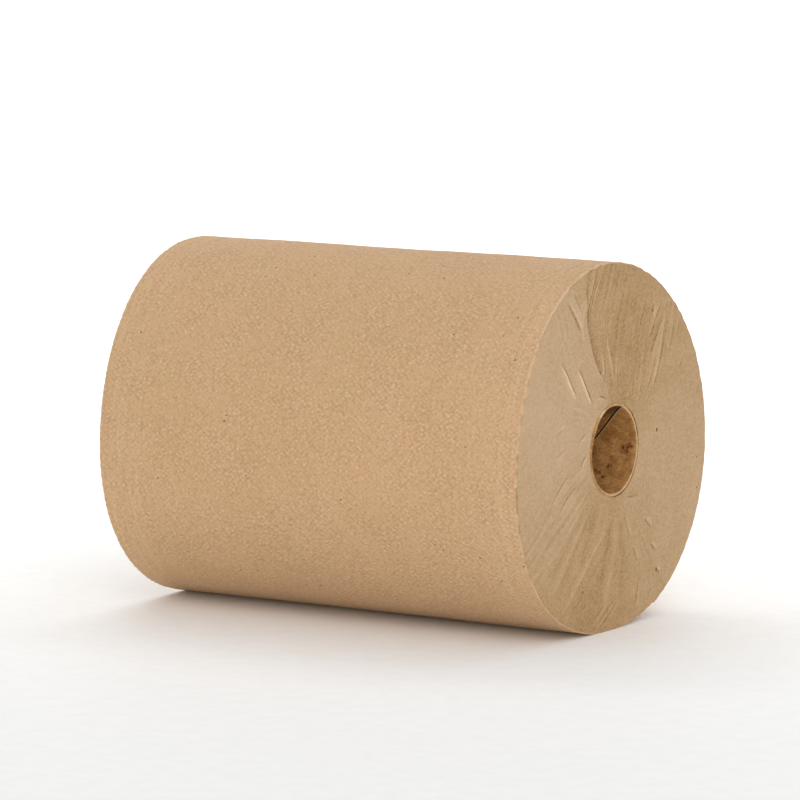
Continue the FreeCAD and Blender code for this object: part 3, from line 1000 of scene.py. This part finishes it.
def floor_material():
    """A plain pale floor."""
    s = Shader("pale_floor")
    fine = s.noise(s.place(), 8 * MM, 2)
    colour = s.mix(s.spread(fine, 0.3, 0.7), FLOOR_GREY, FLOOR_WHITE)
    s.finish(colour, 0.7, s.relief(fine, 0.02 * MM))
    return s.material


# The set

FLOOR_REACH = 3.0
SWEEP_START = 1.2
SWEEP_RADIUS = 1.5


def make_floor():
    """A pale floor that sweeps up behind the roll."""
    bend = np.radians(np.linspace(0, 90, SWEEP_STEPS))
    back = np.concatenate([[-FLOOR_REACH, SWEEP_START], SWEEP_START + SWEEP_RADIUS * np.sin(bend[1:])])
    up = np.concatenate([[0.0, 0.0], SWEEP_RADIUS * (1 - np.cos(bend[1:]))])
    points = [(x, y, z) for y, z in zip(back, up) for x in (-FLOOR_REACH, FLOOR_REACH)]
    mesh = bpy.data.meshes.new("floor")
    faces = [(i, i + 1, i + 3, i + 2) for i in range(0, 2 * len(back) - 2, 2)]
    mesh.from_pydata(points, [], faces)
    mesh.polygons.foreach_set("use_smooth", [True] * len(faces))
    floor = bpy.data.objects.new("floor", mesh)
    floor.rotation_euler.z = CAMERA_AZIMUTH
    mesh.materials.append(floor_material())
    bpy.context.scene.collection.objects.link(floor)


# Camera, from the outlines of both ends in the photograph
CAMERA_AZIMUTH = math.radians(32.87)
CAMERA_ELEVATION = math.radians(7.44)
CAMERA_DISTANCE = 27.777 * ROLL_RADIUS
CAMERA_LENS = 228.0
CAMERA_SENSOR = 36.0
CAMERA_CLIP = 50.0
CAMERA_TARGET = Vector((-0.0266 * ROLL_RADIUS, 0.0, AXIS_HEIGHT + 0.1717 * ROLL_RADIUS))

# Lights
COOL_WHITE = (0.97, 1.0, 1.05)
WARM_WHITE = (1.0, 0.92, 0.78)
WHITE = (1.0, 1.0, 1.0)
SURROUND_STRENGTH = 0.70
BACKDROP_MIDDLE = Vector((-1.3, 2.1, 0.2))


def direction_to(azimuth, elevation):
    """Direction from the roll towards a camera or light."""
    flat = math.cos(elevation)
    return Vector((math.sin(azimuth) * flat, -math.cos(azimuth) * flat, math.sin(elevation)))


def make_camera():
    """A long lens at the photograph's angle."""
    data = bpy.data.cameras.new("camera")
    data.lens = CAMERA_LENS
    data.sensor_width = CAMERA_SENSOR
    data.clip_end = CAMERA_CLIP
    camera = bpy.data.objects.new("camera", data)
    back = direction_to(CAMERA_AZIMUTH, CAMERA_ELEVATION)
    camera.location = CAMERA_TARGET + back * CAMERA_DISTANCE
    camera.rotation_euler = (-back).to_track_quat("-Z", "Y").to_euler()
    bpy.context.scene.collection.objects.link(camera)
    bpy.context.scene.camera = camera


def add_light(name, azimuth, elevation, distance, size, power, colour, aim=None):
    """A square soft box that faces the roll or another place."""
    data = bpy.data.lights.new(name, "AREA")
    data.size = size
    data.energy = power
    data.color = colour
    light = bpy.data.objects.new(name, data)
    back = direction_to(math.radians(azimuth), math.radians(elevation))
    roll_middle = Vector((0, 0, AXIS_HEIGHT))
    light.location = roll_middle + back * distance
    ahead = (aim or roll_middle) - light.location
    light.rotation_euler = ahead.to_track_quat("-Z", "Y").to_euler()
    bpy.context.scene.collection.objects.link(light)


def make_lights():
    """A soft box above the camera, a warm one near the floor, one for the backdrop, and a pale surround."""
    add_light("key", azimuth=43, elevation=31, distance=2.2, size=1.3, power=11.0, colour=COOL_WHITE)
    add_light("low_fill", azimuth=38, elevation=2, distance=2.6, size=1.2, power=18.0, colour=WARM_WHITE)
    add_light("backdrop_light", azimuth=212.87, elevation=55, distance=1.9, size=1.8, power=34.0,
              colour=WHITE, aim=BACKDROP_MIDDLE)
    world = bpy.data.worlds.new("surround")
    world.use_nodes = True
    background = world.node_tree.nodes["Background"]
    background.inputs["Color"].default_value = (*WHITE, 1.0)
    background.inputs["Strength"].default_value = SURROUND_STRENGTH
    bpy.context.scene.world = world


def wear(pieces, material):
    """Give pieces a material."""
    for piece in pieces:
        piece.data.materials.append(material)


wear([make_side(), make_tail_underside()], kraft_side_material())
near_face = make_face("web_near_end", 1, FACE_ROWS, near_creases, SEEDS["near_end"])
far_face = make_face("web_far_end", -1, FAR_FACE_ROWS, far_creases, SEEDS["far_end"])
wear([near_face, far_face], kraft_face_material())
wear([make_core()], core_material())
make_floor()
make_camera()
make_lights()
bpy.context.scene.view_settings.view_transform = "Standard"
